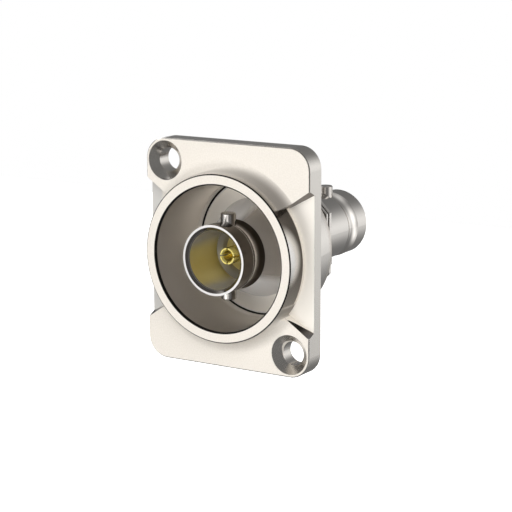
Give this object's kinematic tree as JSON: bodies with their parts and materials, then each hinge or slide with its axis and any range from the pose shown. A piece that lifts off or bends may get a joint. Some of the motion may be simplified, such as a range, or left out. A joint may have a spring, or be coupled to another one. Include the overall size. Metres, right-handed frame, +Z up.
{
  "type": "bnc connector",
  "caption": "Chassis coaxial feed-through with bayonet jacks front and rear, on a rectangular die-cast flange with a raised collar round a deep cup.",
  "frame": {"origin": "on the connector axis, in the plane where the back of the flange seats on the panel, midway between the two fixing holes", "axes": "+Z up along the flange's long side, the front jack faces -Y, the rear jack points to +Y, +X to the right seen from the front"},
  "size_m": [0.026, 0.0341, 0.031],
  "materials": {
    "cast_nickel": "satin nickel plate on zinc die casting, very fine matte grain",
    "turned_nickel": "smooth nickel plate on turned brass",
    "lug_nickel": "bright nickel plate on turned brass",
    "seal_rubber": "matte black",
    "bush_plastic": "matte black",
    "plated_steel": "nickel plated, smooth",
    "insulator_white": "waxy white fluoropolymer",
    "contact_gold": "bright gold plate"
  },
  "bodies": {
    "root": {"shell": "cast_nickel", "front_body": "turned_nickel", "rear_body": "turned_nickel", "front_lug_upper": "lug_nickel", "front_lug_lower": "lug_nickel", "rear_lug_upper": "lug_nickel", "rear_lug_lower": "lug_nickel", "floor_seal": "seal_rubber", "rear_bush": "bush_plastic", "spring_washer": "plated_steel", "clamp_plate": "plated_steel", "clamp_nut": "plated_steel", "front_insulator": "insulator_white", "rear_insulator": "insulator_white", "front_contact": "contact_gold", "rear_contact": "contact_gold", "contact_pin": "contact_gold"}
  },
  "joints": []
}
